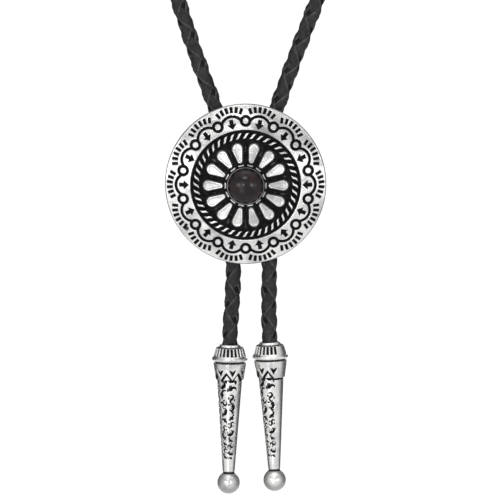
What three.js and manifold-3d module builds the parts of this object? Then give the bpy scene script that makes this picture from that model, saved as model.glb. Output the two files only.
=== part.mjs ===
// A bolo tie: a braided leather cord worn round the neck, a domed cast disc with a
// stone that slides on it, and two cast metal tips on the hanging ends.
//
// Units are millimetres. The origin is at the nape, where the cord hangs on the neck.
// +Z is up, +X is to the right of somebody who looks at the tie, and the disc faces -Y.

import * as THREE from 'three';
import { mergeVertices } from 'three/addons/utils/BufferGeometryUtils.js';
import Module from 'manifold-3d';

const wasm = await Module();
wasm.setup();

// Fits
const SEAT_GAP = 0.3;             // between two pieces that seat on each other
const SOCKET_GAP = 0.25;          // between the cord and the wall of a tip's socket
const CHANNEL_GAP = 0.35;         // between the cord and the wall of the slide's channel

// Cord
const CORD_DIAMETER = 4.1;
const CORD_SIDES = 8;
const LOOP_STEPS = 72;
const TAIL_STEPS = 11;

// Domed disc
const DISC_DIAMETER = 43;
const DISC_EDGE = 1.5;            // thickness at the rim
const DISC_EDGE_ROUND = 0.35;
const DOME_RISE = 4.2;            // from the rim's front to the middle
const BACK_RIM_WIDTH = 2;         // flat ring round the hollow back
const BACK_HOLLOW_DEPTH = 3;
const BACK_FLOOR_DIAMETER = 20;
const CORD_BACK_GAP = 0.5;        // between the rim's back and the cords

// Relief on the disc, from the rim inwards
const RELIEF_DEPTH = 0.5;         // of the ground below the dome's surface
const RELIEF_SINK = 0.3;          // of a raised ornament's foot into the ground below it
const STEP_DRAFT = 0.15;          // slant of the step from the border to the ground
const LINE_DEPTH = 0.45;          // of the grooves in the border
const LINE_WIDTH = 0.53;
const REPEATS = 14;               // petals, scallops and border rings
const BORDER_WIDTH = 6.7;
const RING_INSET = 2.3;           // from the border's inner edge to a ring's centre
const RING_DIAMETER = 2.96;
const RING_DOT_DIAMETER = 1.66;
const SCALLOP_RISE = 1.5;         // of a scallop's crown above the rings' centres
const SCALLOP_JOIN = 15;          // degrees above a ring's middle where the scallop meets it
const HATCH_MARKS = 6;            // on each scallop
const HATCH_LENGTH = 1.5;
const HATCH_WIDTH = 0.5;
const HATCH_GAP = 0.6;            // from the scallop's line to the marks
const HATCH_FAN_RADIUS = 5.3;
const HATCH_FAN_TURN = 62;        // degrees from the first mark to the last
const ARROW_LENGTH = 2.5;
const ARROW_INSET = 0.4;          // from the border's inner edge to the point
const ARROW_HEAD_WIDTH = 1.8;
const ARROW_HEAD_LENGTH = 1.3;
const ARROW_SHAFT_WIDTH = 0.72;
const ROPE_BORDER_GAP = 0.8;
const ROPE_WIDTH = 1.6;
const ROPE_STRANDS = 44;
const ROPE_STRAND_WIDTH = 0.62;
const ROPE_LAY = 6.5;             // degrees that a strand advances across the rope
const PETAL_ROPE_GAP = 0.9;
const PETAL_BEZEL_GAP = 0.4;
const PETAL_OUTER_WIDTH = 3.05;
const PETAL_INNER_WIDTH = 1.6;
const PETAL_BEVEL = 0.22;
const PETAL_PROUD = 0.15;         // of a petal's top above the dome's surface

// Stone and its setting
const STONE_DIAMETER = 9.4;
const STONE_HEIGHT = 3.8;
const STONE_GIRDLE = 1.1;         // height of the stone's straight side
const STONE_STEPS = 5;            // from the girdle to the stone's top
const BEZEL_WALL = 0.5;
const BEZEL_PROUD = 0.7;          // of the bezel above the dome's top
const BEZEL_DEPTH = 1;            // from the dome's top down to the stone's seat

// Slide on the disc's back
const CHANNEL_SPACING = 9.7;      // between the two cords' centres
const SLIDE_WALL = 1.1;
const SLIDE_HEIGHT = 12;          // along the cords
const SLIDE_CORNER = 2.4;
const SLIDE_BOSS_DIAMETER = 9;

// Tips, from the mouth down
const TIP_LENGTH = 40.4;
const SOCKET_DEPTH = 8;
const MOUTH_DIAMETER = 5.6;
const MOUTH_HEIGHT = 0.8;
const FLUTED_TOP_DIAMETER = 7.4;
const COLLAR_DIAMETER = 9.6;
const FLUTED_HEIGHT = 2.5;
const FLUTES = 8;
const FLUTE_WIDTH = 0.8;
const FLUTE_DEPTH = 0.45;
const FLUTE_REACH = 0.36;         // from a flute's middle to its end, over FLUTED_HEIGHT
const BAND_HEIGHT = 1.2;
const BAND_ROUND = 0.35;
const NECK_GROOVE = 0.5;          // height and depth of the groove below the band
const CUP_TOP_DIAMETER = 8.8;
const CUP_FOOT_DIAMETER = 7.3;
const CUP_HEIGHT = 4.65;
const TAPER_TOP_DIAMETER = 6.65;
const TAPER_FOOT_DIAMETER = 3.2;
const BALL_DIAMETER = 6;
const ORNAMENT_DEPTH = 0.3;
const CUTTER_REACH = 1;           // of a cutter off the surface that it cuts
const CHEVRON_WIDTH = 1.5;
const CHEVRON_HEIGHT = 0.9;
const CHEVRON_LINE = 0.42;
const CHEVRON_MARKS = 7;          // V marks and peaks in turn, from one side to the other
const CHEVRON_PLACE = 0.42;       // of a V mark's point above the cup's foot, over CUP_HEIGHT
const PEAK_PLACE = 0.12;          // and of a peak's foot
const SCROLL_ROWS = 4;
const SCROLL_TOP_SIZE = 1.1;      // half the width of the first crescent
const SCROLL_FOOT_SIZE = 0.7;     // and of the last one
const SCROLL_STRETCH = 1.7;       // of a crescent's height over its width
const SCROLL_LINE = 0.5;
const SCROLL_TOP_GAP = 0.6;       // above the first row, in rows
const SCROLL_FOOT_GAP = 0.8;      // and below the last one
const SCROLL_COLUMN_TURN = 1 / 6; // from the ornament's middle to a column, over its spread
const CRESCENT_START = 60;        // degrees from the right where a crescent's arc starts
const CRESCENT_SWEEP = 180;       // degrees that the arc covers
const ORNAMENT_TURN = -40;        // degrees from the front to the middle of a tip's ornament
const ORNAMENT_SPREAD = 160;      // degrees of a tip's side that the ornament covers

// Places that the cord's route sets
const SLIDE_PLACE = new THREE.Vector3(0, -126, -292);
const LEFT_MOUTH = new THREE.Vector3(-4.2, -126, -335.6);
const RIGHT_MOUTH = new THREE.Vector3(6.45, -126, -334.9);
const LEFT_LEAN = 0.6;            // degrees from upright, the foot to the left
const RIGHT_LEAN = -2;

// The cord's route, chosen by hand. The loop runs from the slide up the left side,
// round the nape and down the right side; each tail runs from the slide to its tip.
const LOOP_POINTS = [
  [-4.85, -126, -291.85], [-4.85, -126, -282.5], [-8.2, -126, -271.8], [-13.4, -126, -257.3],
  [-18.1, -126, -242.8], [-25, -126, -222], [-34.2, -125.7, -196], [-43.3, -125, -170],
  [-52, -123, -144], [-59.8, -118.7, -119], [-65.8, -111, -95], [-69.6, -98.5, -73],
  [-70.8, -82, -53], [-69, -63.5, -35.5], [-64, -44.5, -21.5], [-54.5, -27, -11.5],
  [-40.5, -12.5, -4.8], [-21.5, -3.2, -1.2], [0, 0, 0], [21.5, -3.2, -1.2],
  [40.5, -12.5, -4.8], [54.5, -27, -11.5], [64, -44.5, -21.5], [69, -63.5, -35.5],
  [70.8, -82, -53], [69.6, -98.5, -73], [65.8, -111, -95], [59.9, -118.7, -119],
  [52.4, -123, -144], [44, -125, -170], [35.2, -125.7, -196], [26.2, -126, -222],
  [19.1, -126, -242.8], [13.6, -126, -257.3], [8.4, -126, -271.8], [4.85, -126, -282.5],
  [4.85, -126, -291.85],
];
const LEFT_TAIL_POINTS = [
  [-4.85, -126, -292.15], [-4.85, -126, -300], [-3.9, -126, -307], [-3.3, -126, -314],
  [-3.6, -126, -324],
];
const RIGHT_TAIL_POINTS = [
  [4.85, -126, -292.15], [4.85, -126, -300], [5.8, -126, -307], [6.3, -126, -314],
  [6.2, -126, -324],
];

// Worked out from the sizes above
const cordRadius = CORD_DIAMETER / 2;
const discRadius = DISC_DIAMETER / 2;
const borderInner = discRadius - BORDER_WIDTH;
const ringPath = borderInner + RING_INSET;
const ringRadius = RING_DIAMETER / 2;
const ropeOuter = borderInner - ROPE_BORDER_GAP;
const ropeInner = ropeOuter - ROPE_WIDTH;
const stoneRadius = STONE_DIAMETER / 2;
const bezelInner = stoneRadius + SEAT_GAP;
const bezelOuter = bezelInner + BEZEL_WALL;
const petalOuter = ropeInner - PETAL_ROPE_GAP;
const petalInner = bezelOuter + PETAL_BEZEL_GAP;
const repeatTurn = 2 * Math.PI / REPEATS;
const domeTop = DISC_EDGE + DOME_RISE;
const cordDepth = cordRadius + CORD_BACK_GAP;      // of the cords behind the rim's back
const taperTop = -(MOUTH_HEIGHT + FLUTED_HEIGHT + BAND_HEIGHT + NECK_GROOVE + CUP_HEIGHT);

const radians = THREE.MathUtils.degToRad;

const silver = () => new THREE.MeshStandardMaterial({ color: '#c9c9c7', roughness: 0.3, metalness: 1 });
const leather = () => new THREE.MeshStandardMaterial({ color: '#2b2a2b', roughness: 0.75, metalness: 0 });
const darkStone = () => new THREE.MeshStandardMaterial({ color: '#241a1c', roughness: 0.1, metalness: 0 });

// Shared vertices only, with the faces turned out.
function welded(geometry) {
  const bare = geometry.clone();
  bare.deleteAttribute('normal');
  bare.deleteAttribute('uv');
  const merged = mergeVertices(bare, 1e-5);
  const place = merged.attributes.position;
  const corners = merged.index.array;
  const a = new THREE.Vector3();
  const b = new THREE.Vector3();
  const c = new THREE.Vector3();
  let volume = 0;
  for (let i = 0; i < corners.length; i += 3) {
    a.fromBufferAttribute(place, corners[i]);
    b.fromBufferAttribute(place, corners[i + 1]);
    c.fromBufferAttribute(place, corners[i + 2]);
    volume += a.dot(b.cross(c));
  }
  if (volume < 0) {
    for (let i = 0; i < corners.length; i += 3) {
      [corners[i], corners[i + 1]] = [corners[i + 1], corners[i]];
    }
  }
  return merged;
}

function solidOf(geometry) {
  const closed = welded(geometry);
  return new wasm.Manifold(new wasm.Mesh({
    numProp: 3,
    vertProperties: new Float32Array(closed.attributes.position.array),
    triVerts: new Uint32Array(closed.index.array),
  }));
}

function geometryOf(solid) {
  const mesh = solid.getMesh();
  const geometry = new THREE.BufferGeometry();
  geometry.setAttribute('position', new THREE.BufferAttribute(new Float32Array(mesh.vertProperties), 3));
  geometry.setIndex(new THREE.BufferAttribute(new Uint32Array(mesh.triVerts), 1));
  geometry.computeVertexNormals();
  return geometry;
}

function joined(geometries) {
  return geometries.map(solidOf).reduce((all, next) => all.add(next));
}

function repeated(count, make) {
  return Array.from({ length: count }, (_, index) => make(index));
}

function named(name, geometry, material) {
  const mesh = new THREE.Mesh(geometry, material);
  mesh.name = name;
  return mesh;
}

// A flat outline made solid between two heights above its drawing plane.
function slab(shape, low, high, curveSegments = 6) {
  const options = { depth: high - low, bevelEnabled: false, curveSegments };
  return new THREE.ExtrudeGeometry(shape, options).translate(0, 0, low);
}

function polygon(points) {
  return new THREE.Shape(points.map(([x, y]) => new THREE.Vector2(x, y)));
}

function circle(radius) {
  return new THREE.Shape().absarc(0, 0, radius, 0, 2 * Math.PI);
}

// A line of even width along an arc round (x, y), from one angle to the other.
function arcLine(x, y, radius, width, start, end) {
  return new THREE.Shape()
    .absarc(x, y, radius + width / 2, start, end, false)
    .absarc(x, y, radius - width / 2, end, start, true);
}

// A closed profile of [radius, height] turned round Z.
function turned(profile, segments) {
  const points = profile.map(([radius, height]) => new THREE.Vector2(radius, height));
  return new THREE.LatheGeometry(points, segments).rotateX(Math.PI / 2);
}

// The disc is drawn with its axis along +Z and its front up, and stood up afterwards.
function domeHeight(radius) {
  return DISC_EDGE + DOME_RISE * (1 - (radius / discRadius) ** 2);
}

// Lays an ornament, drawn with +Y outwards and +Z off the surface, on the dome at a
// radius and at a turn clockwise from the top.
function onDome(geometry, radius, turn) {
  const slope = Math.atan(2 * DOME_RISE * radius / discRadius ** 2);
  return geometry.rotateX(-slope).translate(0, radius, domeHeight(radius)).rotateZ(-turn);
}

function discBlank() {
  const border = [discRadius - DISC_EDGE_ROUND, borderInner].map((radius) => [radius, domeHeight(radius)]);
  const field = repeated(3, (index) => {
    const radius = THREE.MathUtils.lerp(borderInner - STEP_DRAFT, bezelOuter, index / 2);
    return [radius, domeHeight(radius) - RELIEF_DEPTH];
  });
  return turned([
    [0, BACK_HOLLOW_DEPTH],
    [BACK_FLOOR_DIAMETER / 2, BACK_HOLLOW_DEPTH],
    [discRadius - BACK_RIM_WIDTH, 0],
    [discRadius - DISC_EDGE_ROUND, 0],
    [discRadius, DISC_EDGE_ROUND],
    [discRadius, DISC_EDGE - DISC_EDGE_ROUND / 2],
    ...border,
    ...field,
    [bezelOuter, domeTop + BEZEL_PROUD],
    [bezelInner, domeTop + BEZEL_PROUD],
    [bezelInner, domeTop - BEZEL_DEPTH],
    [0, domeTop - BEZEL_DEPTH],
  ], 3 * REPEATS);
}

// Two circles, a small one near the stone and a large one outside, and their tangents.
function petals() {
  const small = PETAL_INNER_WIDTH / 2;
  const large = PETAL_OUTER_WIDTH / 2;
  const middle = (petalInner + petalOuter) / 2;
  const inner = petalInner + small - middle;
  const outer = petalOuter - large - middle;
  const tangent = Math.asin((large - small) / (outer - inner));
  const shape = new THREE.Shape()
    .absarc(0, outer, large, -tangent, Math.PI + tangent, false)
    .absarc(0, inner, small, Math.PI + tangent, 2 * Math.PI - tangent, false);
  const foot = -RELIEF_DEPTH - RELIEF_SINK;
  return repeated(REPEATS, (index) => {
    const petal = new THREE.ExtrudeGeometry(shape, {
      depth: PETAL_PROUD - foot - 2 * PETAL_BEVEL,
      bevelThickness: PETAL_BEVEL,
      bevelSize: PETAL_BEVEL,
      bevelOffset: -PETAL_BEVEL,
      bevelSegments: 1,
      curveSegments: 2,
    }).translate(0, 0, foot + PETAL_BEVEL);
    return onDome(petal, middle, (index + 0.5) * repeatTurn);
  });
}

// Slanting strands, each a short bar whose outer end runs on clockwise.
function ropeStrands() {
  const middle = (ropeInner + ropeOuter) / 2;
  const half = ROPE_WIDTH / 2;
  const lean = middle * radians(ROPE_LAY) / 2;
  const wide = ROPE_STRAND_WIDTH * Math.hypot(half, lean) / half / 2;
  const shape = polygon([
    [-lean - wide, -half], [-lean + wide, -half], [lean + wide, half], [lean - wide, half],
  ]);
  return repeated(ROPE_STRANDS, (index) => (
    onDome(slab(shape, -RELIEF_DEPTH - RELIEF_SINK, 0), middle, index * 2 * Math.PI / ROPE_STRANDS)
  ));
}

// Grooves of one repeat of the border: half of it lies on each side of a scallop's crown.
function borderGrooves(index) {
  const crown = ringPath + SCALLOP_RISE;
  const low = -LINE_DEPTH;
  const high = RELIEF_DEPTH;

  const ring = circle(ringRadius);
  ring.holes.push(circle(RING_DOT_DIAMETER / 2));

  // The scallop is an arc through its crown and the flank of the ring on each side.
  const join = ringRadius - LINE_WIDTH / 2;
  const endX = ringPath * Math.sin(repeatTurn / 2) - join * Math.cos(radians(SCALLOP_JOIN));
  const endY = ringPath * Math.cos(repeatTurn / 2) + join * Math.sin(radians(SCALLOP_JOIN));
  const drop = crown - endY;
  const radius = (endX ** 2 + drop ** 2) / (2 * drop);
  const sweep = Math.asin(endX / radius);
  const upright = Math.PI / 2;
  const scallop = arcLine(0, crown - radius - ringPath, radius, LINE_WIDTH, upright - sweep, upright + sweep);

  const point = borderInner + ARROW_INSET - ringPath;
  const barb = point + ARROW_HEAD_LENGTH;
  const tail = point + ARROW_LENGTH;
  const shaft = ARROW_SHAFT_WIDTH / 2;
  const head = ARROW_HEAD_WIDTH / 2;
  const arrow = polygon([
    [0, point], [head, barb], [shaft, barb], [shaft, tail], [-shaft, tail], [-shaft, barb], [-head, barb],
  ]);

  const hatchFoot = crown + LINE_WIDTH / 2 + HATCH_GAP;
  const marks = repeated(HATCH_MARKS, (mark) => {
    const fan = radians(HATCH_FAN_TURN) * (mark / (HATCH_MARKS - 1) - 0.5);
    const half = HATCH_WIDTH / 2;
    const start = HATCH_FAN_RADIUS;
    const end = HATCH_FAN_RADIUS + HATCH_LENGTH;
    const shape = polygon([[-half, start], [half, start], [half, end], [-half, end]]);
    const bar = slab(shape, low, high).rotateZ(fan).translate(0, hatchFoot - start - ringPath, 0);
    return onDome(bar, ringPath, (index + 0.5) * repeatTurn);
  });

  return [
    onDome(slab(ring, low, high, 4), ringPath, index * repeatTurn),
    onDome(slab(scallop, low, high, 2), ringPath, (index + 0.5) * repeatTurn),
    onDome(slab(arrow, low, high), ringPath, (index + 0.5) * repeatTurn),
    ...marks,
  ];
}

function disc() {
  const raised = joined([discBlank(), ...petals(), ...ropeStrands()]);
  const grooves = joined(repeated(REPEATS, borderGrooves).flat());
  return named('concho', geometryOf(raised.subtract(grooves)), silver());
}

// A cabochon: a straight girdle under a dome that is a quarter of an ellipse in section.
function stone() {
  const seat = domeTop - BEZEL_DEPTH + SEAT_GAP;
  const crownHeight = STONE_HEIGHT - STONE_GIRDLE;
  const crown = repeated(STONE_STEPS + 1, (index) => {
    const angle = index * Math.PI / (2 * STONE_STEPS);
    return [stoneRadius * Math.cos(angle), seat + STONE_GIRDLE + crownHeight * Math.sin(angle)];
  });
  crown[STONE_STEPS][0] = 0;
  return named('cabochon', turned([[0, seat], [stoneRadius, seat], ...crown], 18), darkStone());
}

// A block with a round channel for each cord and a boss that seats in the hollow back.
function slideClasp() {
  const channel = cordRadius + CHANNEL_GAP;
  const halfWidth = CHANNEL_SPACING / 2 + channel + SLIDE_WALL;
  const halfDepth = channel + SLIDE_WALL;
  const corner = Math.min(SLIDE_CORNER, halfDepth);
  const block = new THREE.Shape()
    .absarc(halfWidth - corner, halfDepth - corner, corner, 0, Math.PI / 2, false)
    .absarc(corner - halfWidth, halfDepth - corner, corner, Math.PI / 2, Math.PI, false)
    .absarc(corner - halfWidth, corner - halfDepth, corner, Math.PI, 1.5 * Math.PI, false)
    .absarc(halfWidth - corner, corner - halfDepth, corner, 1.5 * Math.PI, 2 * Math.PI, false);
  for (const side of [-1, 1]) {
    const hole = new THREE.Path();
    hole.absarc(side * CHANNEL_SPACING / 2, 0, channel, 0, 2 * Math.PI);
    block.holes.push(hole);
  }
  const body = slab(block, -SLIDE_HEIGHT / 2, SLIDE_HEIGHT / 2, 5)
    .rotateX(Math.PI / 2)
    .translate(0, 0, -cordDepth);
  const bossFoot = halfDepth - cordDepth - SLIDE_WALL / 2;
  const bossTop = BACK_HOLLOW_DEPTH - SEAT_GAP;
  const boss = new THREE.CylinderGeometry(
    SLIDE_BOSS_DIAMETER / 2, SLIDE_BOSS_DIAMETER / 2, bossTop - bossFoot, 20,
  ).rotateX(Math.PI / 2).translate(0, 0, (bossTop + bossFoot) / 2);
  return named('slide_clasp', geometryOf(joined([body, boss])), silver());
}

// Lays an ornament, drawn with +Y up and +Z off the surface, on a tip's side. The cone
// there has a radius at its middle and narrows upwards by a slope, in radians.
function onTip(geometry, radius, height, slope, turn) {
  return geometry.rotateX(-slope).rotateX(Math.PI / 2).translate(0, -radius, height).rotateZ(turn);
}

// A tip hangs down from the origin, at the middle of its mouth.
function tipBlank() {
  const socket = cordRadius + SOCKET_GAP;
  const collar = COLLAR_DIAMETER / 2;
  const ball = BALL_DIAMETER / 2;
  const ballCentre = ball - TIP_LENGTH;
  const neckAngle = Math.asin(TAPER_FOOT_DIAMETER / BALL_DIAMETER);
  const ballArc = repeated(6, (index) => {
    const angle = index * (Math.PI - neckAngle) / 5;
    return [ball * Math.sin(angle), ballCentre - ball * Math.cos(angle)];
  });
  const bandTop = -MOUTH_HEIGHT - FLUTED_HEIGHT;
  const bandFoot = bandTop - BAND_HEIGHT;
  const cupTop = bandFoot - NECK_GROOVE;
  return turned([
    ...ballArc,
    [TAPER_TOP_DIAMETER / 2, taperTop],
    [CUP_FOOT_DIAMETER / 2, taperTop],
    [CUP_TOP_DIAMETER / 2, cupTop],
    [collar - 2 * NECK_GROOVE, cupTop],
    [collar - 2 * NECK_GROOVE, bandFoot],
    [collar - BAND_ROUND, bandFoot],
    [collar, (bandFoot + bandTop) / 2],
    [collar - BAND_ROUND, bandTop],
    [FLUTED_TOP_DIAMETER / 2, -MOUTH_HEIGHT],
    [MOUTH_DIAMETER / 2, -MOUTH_HEIGHT],
    [MOUTH_DIAMETER / 2, 0],
    [socket, 0],
    [socket, -SOCKET_DEPTH],
    [0, -SOCKET_DEPTH],
  ], 16);
}

function flutes() {
  const slope = Math.atan((COLLAR_DIAMETER - FLUTED_TOP_DIAMETER) / 2 / FLUTED_HEIGHT);
  const radius = (COLLAR_DIAMETER + FLUTED_TOP_DIAMETER) / 4;
  const half = FLUTE_WIDTH / 2;
  const reach = FLUTED_HEIGHT * FLUTE_REACH;
  const shape = polygon([[-half, -reach], [half, -reach], [half, reach], [-half, reach]]);
  return repeated(FLUTES, (index) => {
    const turn = radians(ORNAMENT_TURN + ORNAMENT_SPREAD * (index / (FLUTES - 1) - 0.5));
    const height = -MOUTH_HEIGHT - FLUTED_HEIGHT / 2;
    return onTip(slab(shape, -FLUTE_DEPTH, CUTTER_REACH), radius, height, slope, turn);
  });
}

// A row of V marks on the cup, and between them the peaks of a zigzag that stands on its foot.
function chevrons() {
  const slope = -Math.atan((CUP_TOP_DIAMETER - CUP_FOOT_DIAMETER) / 2 / CUP_HEIGHT);
  const half = CHEVRON_WIDTH / 2;
  const line = CHEVRON_LINE;
  const down = polygon([
    [-half, CHEVRON_HEIGHT], [0, 0], [half, CHEVRON_HEIGHT], [half - line, CHEVRON_HEIGHT],
    [0, 1.5 * line], [line - half, CHEVRON_HEIGHT],
  ]);
  const up = polygon([
    [-half, 0], [line - half, 0], [0, CHEVRON_HEIGHT - line], [half - line, 0], [half, 0],
    [0, CHEVRON_HEIGHT + line],
  ]);
  const pitch = radians(ORNAMENT_SPREAD / (CHEVRON_MARKS - 1));
  return repeated(CHEVRON_MARKS, (index) => {
    const shape = index % 2 ? down : up;
    const share = index % 2 ? CHEVRON_PLACE : PEAK_PLACE;
    const radius = (CUP_FOOT_DIAMETER + share * (CUP_TOP_DIAMETER - CUP_FOOT_DIAMETER)) / 2;
    const height = taperTop + share * CUP_HEIGHT;
    const turn = radians(ORNAMENT_TURN) + (index - (CHEVRON_MARKS - 1) / 2) * pitch;
    return onTip(slab(shape, -ORNAMENT_DEPTH, CUTTER_REACH), radius, height, slope, turn);
  });
}

// Scrollwork down the taper: pairs of tall crescents, each row turned over from the last.
function scrollwork() {
  const foot = BALL_DIAMETER - TIP_LENGTH;
  const length = taperTop - foot;
  const slope = -Math.atan((TAPER_TOP_DIAMETER - TAPER_FOOT_DIAMETER) / 2 / length);
  const rows = SCROLL_TOP_GAP + SCROLL_ROWS - 1 + SCROLL_FOOT_GAP;
  return repeated(SCROLL_ROWS, (row) => {
    const share = (row + SCROLL_TOP_GAP) / rows;
    const size = THREE.MathUtils.lerp(SCROLL_TOP_SIZE, SCROLL_FOOT_SIZE, share);
    const radius = THREE.MathUtils.lerp(TAPER_TOP_DIAMETER, TAPER_FOOT_DIAMETER, share) / 2;
    return [-1, 1].map((column) => {
      const start = radians((2 * row + column) % 4 === 1 ? CRESCENT_START : CRESCENT_START - 180);
      const end = start + radians(CRESCENT_SWEEP);
      const shape = arcLine(0, 0, size - SCROLL_LINE / 2, SCROLL_LINE, start, end);
      const turn = radians(ORNAMENT_TURN + column * SCROLL_COLUMN_TURN * ORNAMENT_SPREAD);
      const height = taperTop - share * length + column * size / 2;
      const cutter = slab(shape, -ORNAMENT_DEPTH, CUTTER_REACH, 2).scale(1, SCROLL_STRETCH, 1);
      return onTip(cutter, radius, height, slope, turn);
    });
  }).flat();
}

function tip(name, mouth, lean) {
  const relief = joined([...flutes(), ...chevrons(), ...scrollwork()]);
  const mesh = named(name, geometryOf(solidOf(tipBlank()).subtract(relief)), silver());
  mesh.position.copy(mouth);
  mesh.rotation.y = radians(lean);
  return mesh;
}

// The stretch of a tail that lies in its tip's socket follows the tip's own axis.
function tailPoints(points, mouth, lean) {
  const down = new THREE.Vector3(-Math.sin(radians(lean)), 0, -Math.cos(radians(lean)));
  const reach = SOCKET_DEPTH - SEAT_GAP;
  const along = [-0.5, 0, 0.5, 1].map((share) => mouth.clone().addScaledVector(down, share * reach));
  return [...points.map((point) => new THREE.Vector3(...point)), ...along];
}

function cord(name, points, steps) {
  const section = polygon(repeated(CORD_SIDES, (index) => {
    const angle = 2 * Math.PI * index / CORD_SIDES;
    return [cordRadius * Math.cos(angle), cordRadius * Math.sin(angle)];
  }));
  const route = new THREE.CatmullRomCurve3(points);
  const tube = new THREE.ExtrudeGeometry(section, { steps, extrudePath: route, bevelEnabled: false });
  const geometry = welded(tube);
  geometry.computeVertexNormals();
  return named(name, geometry, leather());
}

const slide = new THREE.Group();
slide.position.copy(SLIDE_PLACE).add(new THREE.Vector3(0, -cordDepth, 0));
slide.rotation.x = Math.PI / 2;
slide.add(disc(), stone(), slideClasp());

const boloTie = new THREE.Group();
boloTie.add(
  slide,
  cord('cord_neck_loop', LOOP_POINTS.map((point) => new THREE.Vector3(...point)), LOOP_STEPS),
  cord('cord_tail_left', tailPoints(LEFT_TAIL_POINTS, LEFT_MOUTH, LEFT_LEAN), TAIL_STEPS),
  cord('cord_tail_right', tailPoints(RIGHT_TAIL_POINTS, RIGHT_MOUTH, RIGHT_LEAN), TAIL_STEPS),
  tip('tip_left', LEFT_MOUTH, LEFT_LEAN),
  tip('tip_right', RIGHT_MOUTH, RIGHT_LEAN),
);

export default boloTie;
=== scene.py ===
"""The looks of a bolo tie: a cast silver disc with a dark stone on a braided leather cord with cast tips.

Sizes are in millimetres, and each mesh is scaled to metres as it is made. The frame is the model's own:
the origin at the nape, +Z up, +X to the right of somebody who looks at the tie, and the disc facing -Y.
"""

import math

import bmesh
import bpy
import numpy as np
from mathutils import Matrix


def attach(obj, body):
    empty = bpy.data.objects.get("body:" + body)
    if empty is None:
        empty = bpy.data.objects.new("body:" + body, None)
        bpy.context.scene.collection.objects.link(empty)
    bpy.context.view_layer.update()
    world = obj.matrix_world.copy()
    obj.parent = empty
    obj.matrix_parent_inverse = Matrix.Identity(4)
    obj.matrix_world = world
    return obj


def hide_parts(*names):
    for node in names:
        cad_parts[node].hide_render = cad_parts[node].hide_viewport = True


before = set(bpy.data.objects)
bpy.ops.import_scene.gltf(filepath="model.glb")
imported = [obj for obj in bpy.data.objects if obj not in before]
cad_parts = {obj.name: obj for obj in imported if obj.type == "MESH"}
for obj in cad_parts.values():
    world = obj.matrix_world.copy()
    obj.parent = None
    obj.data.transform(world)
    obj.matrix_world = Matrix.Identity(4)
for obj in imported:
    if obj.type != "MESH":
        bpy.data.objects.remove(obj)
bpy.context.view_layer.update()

MM = 0.001
TURN = 2 * math.pi

# Photograph and camera
PHOTO_SIZE = 500
DISC_PIXELS = 161.0  # the disc's width in the photograph
DISC_PIXEL_CENTRE = (245.67, 183.5)
CAMERA_ELEVATION = 7.0  # degrees
CAMERA_DISTANCE = 2400.0  # far off, so that the view is nearly parallel

# Disc
DISC_RADIUS = 21.5
DISC_EDGE = 1.5
EDGE_ROUND = 0.45
DOME_RISE = 4.2
BACK_RIM_WIDTH = 2.0
BACK_HOLLOW_DEPTH = 3.0
BACK_FLOOR_RADIUS = 10.0
BODY_FLOOR = BACK_HOLLOW_DEPTH + 0.08  # the body's plain front under the field
FIELD_FOOT = BODY_FLOOR + 0.04
PROFILE_END = 0.4  # the radius at which a turned profile ends, and a fan closes it
CORD_BACK_GAP = 0.5
REPEATS = 14
REPEAT_TURN = TURN / REPEATS

# Border relief
BORDER_INNER = 14.8
LINE_DEPTH = 0.36
LINE_WIDTH = 0.66
LINE_WALL = (0.10, -0.14)  # distances from a line's edge where its wall starts and ends
LINE_BLACK = (0.13, -0.02)  # and where its black starts and is full
RING_PATH = 17.1
RING_OUTER = 1.52
RING_INNER = 0.80
SCALLOP_CROWN = 18.6
SCALLOP_JOIN = math.radians(15)  # where a scallop meets a ring, outwards from the ring's side
HATCH_MARKS = 6
HATCH_FOOT = 19.5
HATCH_LENGTH = 1.5
HATCH_WIDTH = 0.70
HATCH_FAN_RADIUS = 5.3
HATCH_FAN_TURN = math.radians(62)
ARROW_POINT = 15.2
ARROW_LENGTH = 2.5
ARROW_HEAD_WIDTH = 2.3
ARROW_HEAD_LENGTH = 1.3
ARROW_SHAFT_WIDTH = 0.95
ARROW_OVERLAP = 0.2  # of the head and the shaft
# Cloudy dull patches round the border's top, partly painted shade against the top softbox's reflection
TOP_DULLING_AND_SHADE_TURN = math.radians(8)
TOP_DULLING_AND_SHADE = 0.4
DULL_LEFT_TURN = math.radians(215)
DULL_LEFT = 0.25
SPOT_TURN = math.radians(233)
SPOT_PATH = 19.7
SPOT_EDGE = (0.95, 0.35)  # distances from its middle where the spot starts and is full
DULL_SPOT = 0.9
DULL_RIM = 0.5

# Field relief
GROUND_DEPTH = 0.5
ROPE_INNER = 12.4
ROPE_OUTER = 14.0
ROPE_STRANDS = 44
ROPE_LAY = math.radians(6.5)
ROPE_BULGE = 0.52  # half a strand's width at its foot
ROPE_BRIGHT = 0.26  # and at its polished crest
ROPE_PROUD = 0.06
PETAL_INNER = 5.95
PETAL_OUTER = 11.5
PETAL_INNER_WIDTH = 1.6
PETAL_OUTER_WIDTH = 3.05
PETAL_PROUD = 0.15
PETAL_WALL = (0.06, -0.30)
PETAL_DISH = 0.16
PETAL_DISH_WALL = (-0.35, -0.95)
PETAL_BLACK = (0.02, -0.10)
PETAL_DULLNESS = 0.16
RIDGE_SIDE = (0.42, 0.1)  # where the faint ridge between two petals fades in
RIDGE_START = (7.4, 8.6)
RIDGE_END = (12.1, 11.2)
RIDGE_HEIGHT = 0.16
RIDGE_BRIGHT = 0.10

# Stone and bezel
STONE_RADIUS = 4.7
STONE_HEIGHT = 3.8
STONE_GIRDLE = 1.1
STONE_COLUMNS = 128
BEZEL_INNER = 4.78
BEZEL_OUTER = 5.6
BEZEL_PROUD = 0.7
BEZEL_DEPTH = 1.0
LIP_BRIGHT = 0.55
BEAD_PATH = 5.40  # fourteen short beads outside the bezel's lip
BEAD_WIDTH = 0.38
BEAD_LENGTH = 1.6
BEAD_HEIGHT = 0.42
BEAD_WALL = (0.12, -0.12)
BEAD_BLACK = (0.05, -0.06)
SEAT_GAP = 0.3
SLIDE_EDGE_ROUND = 0.4

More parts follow.
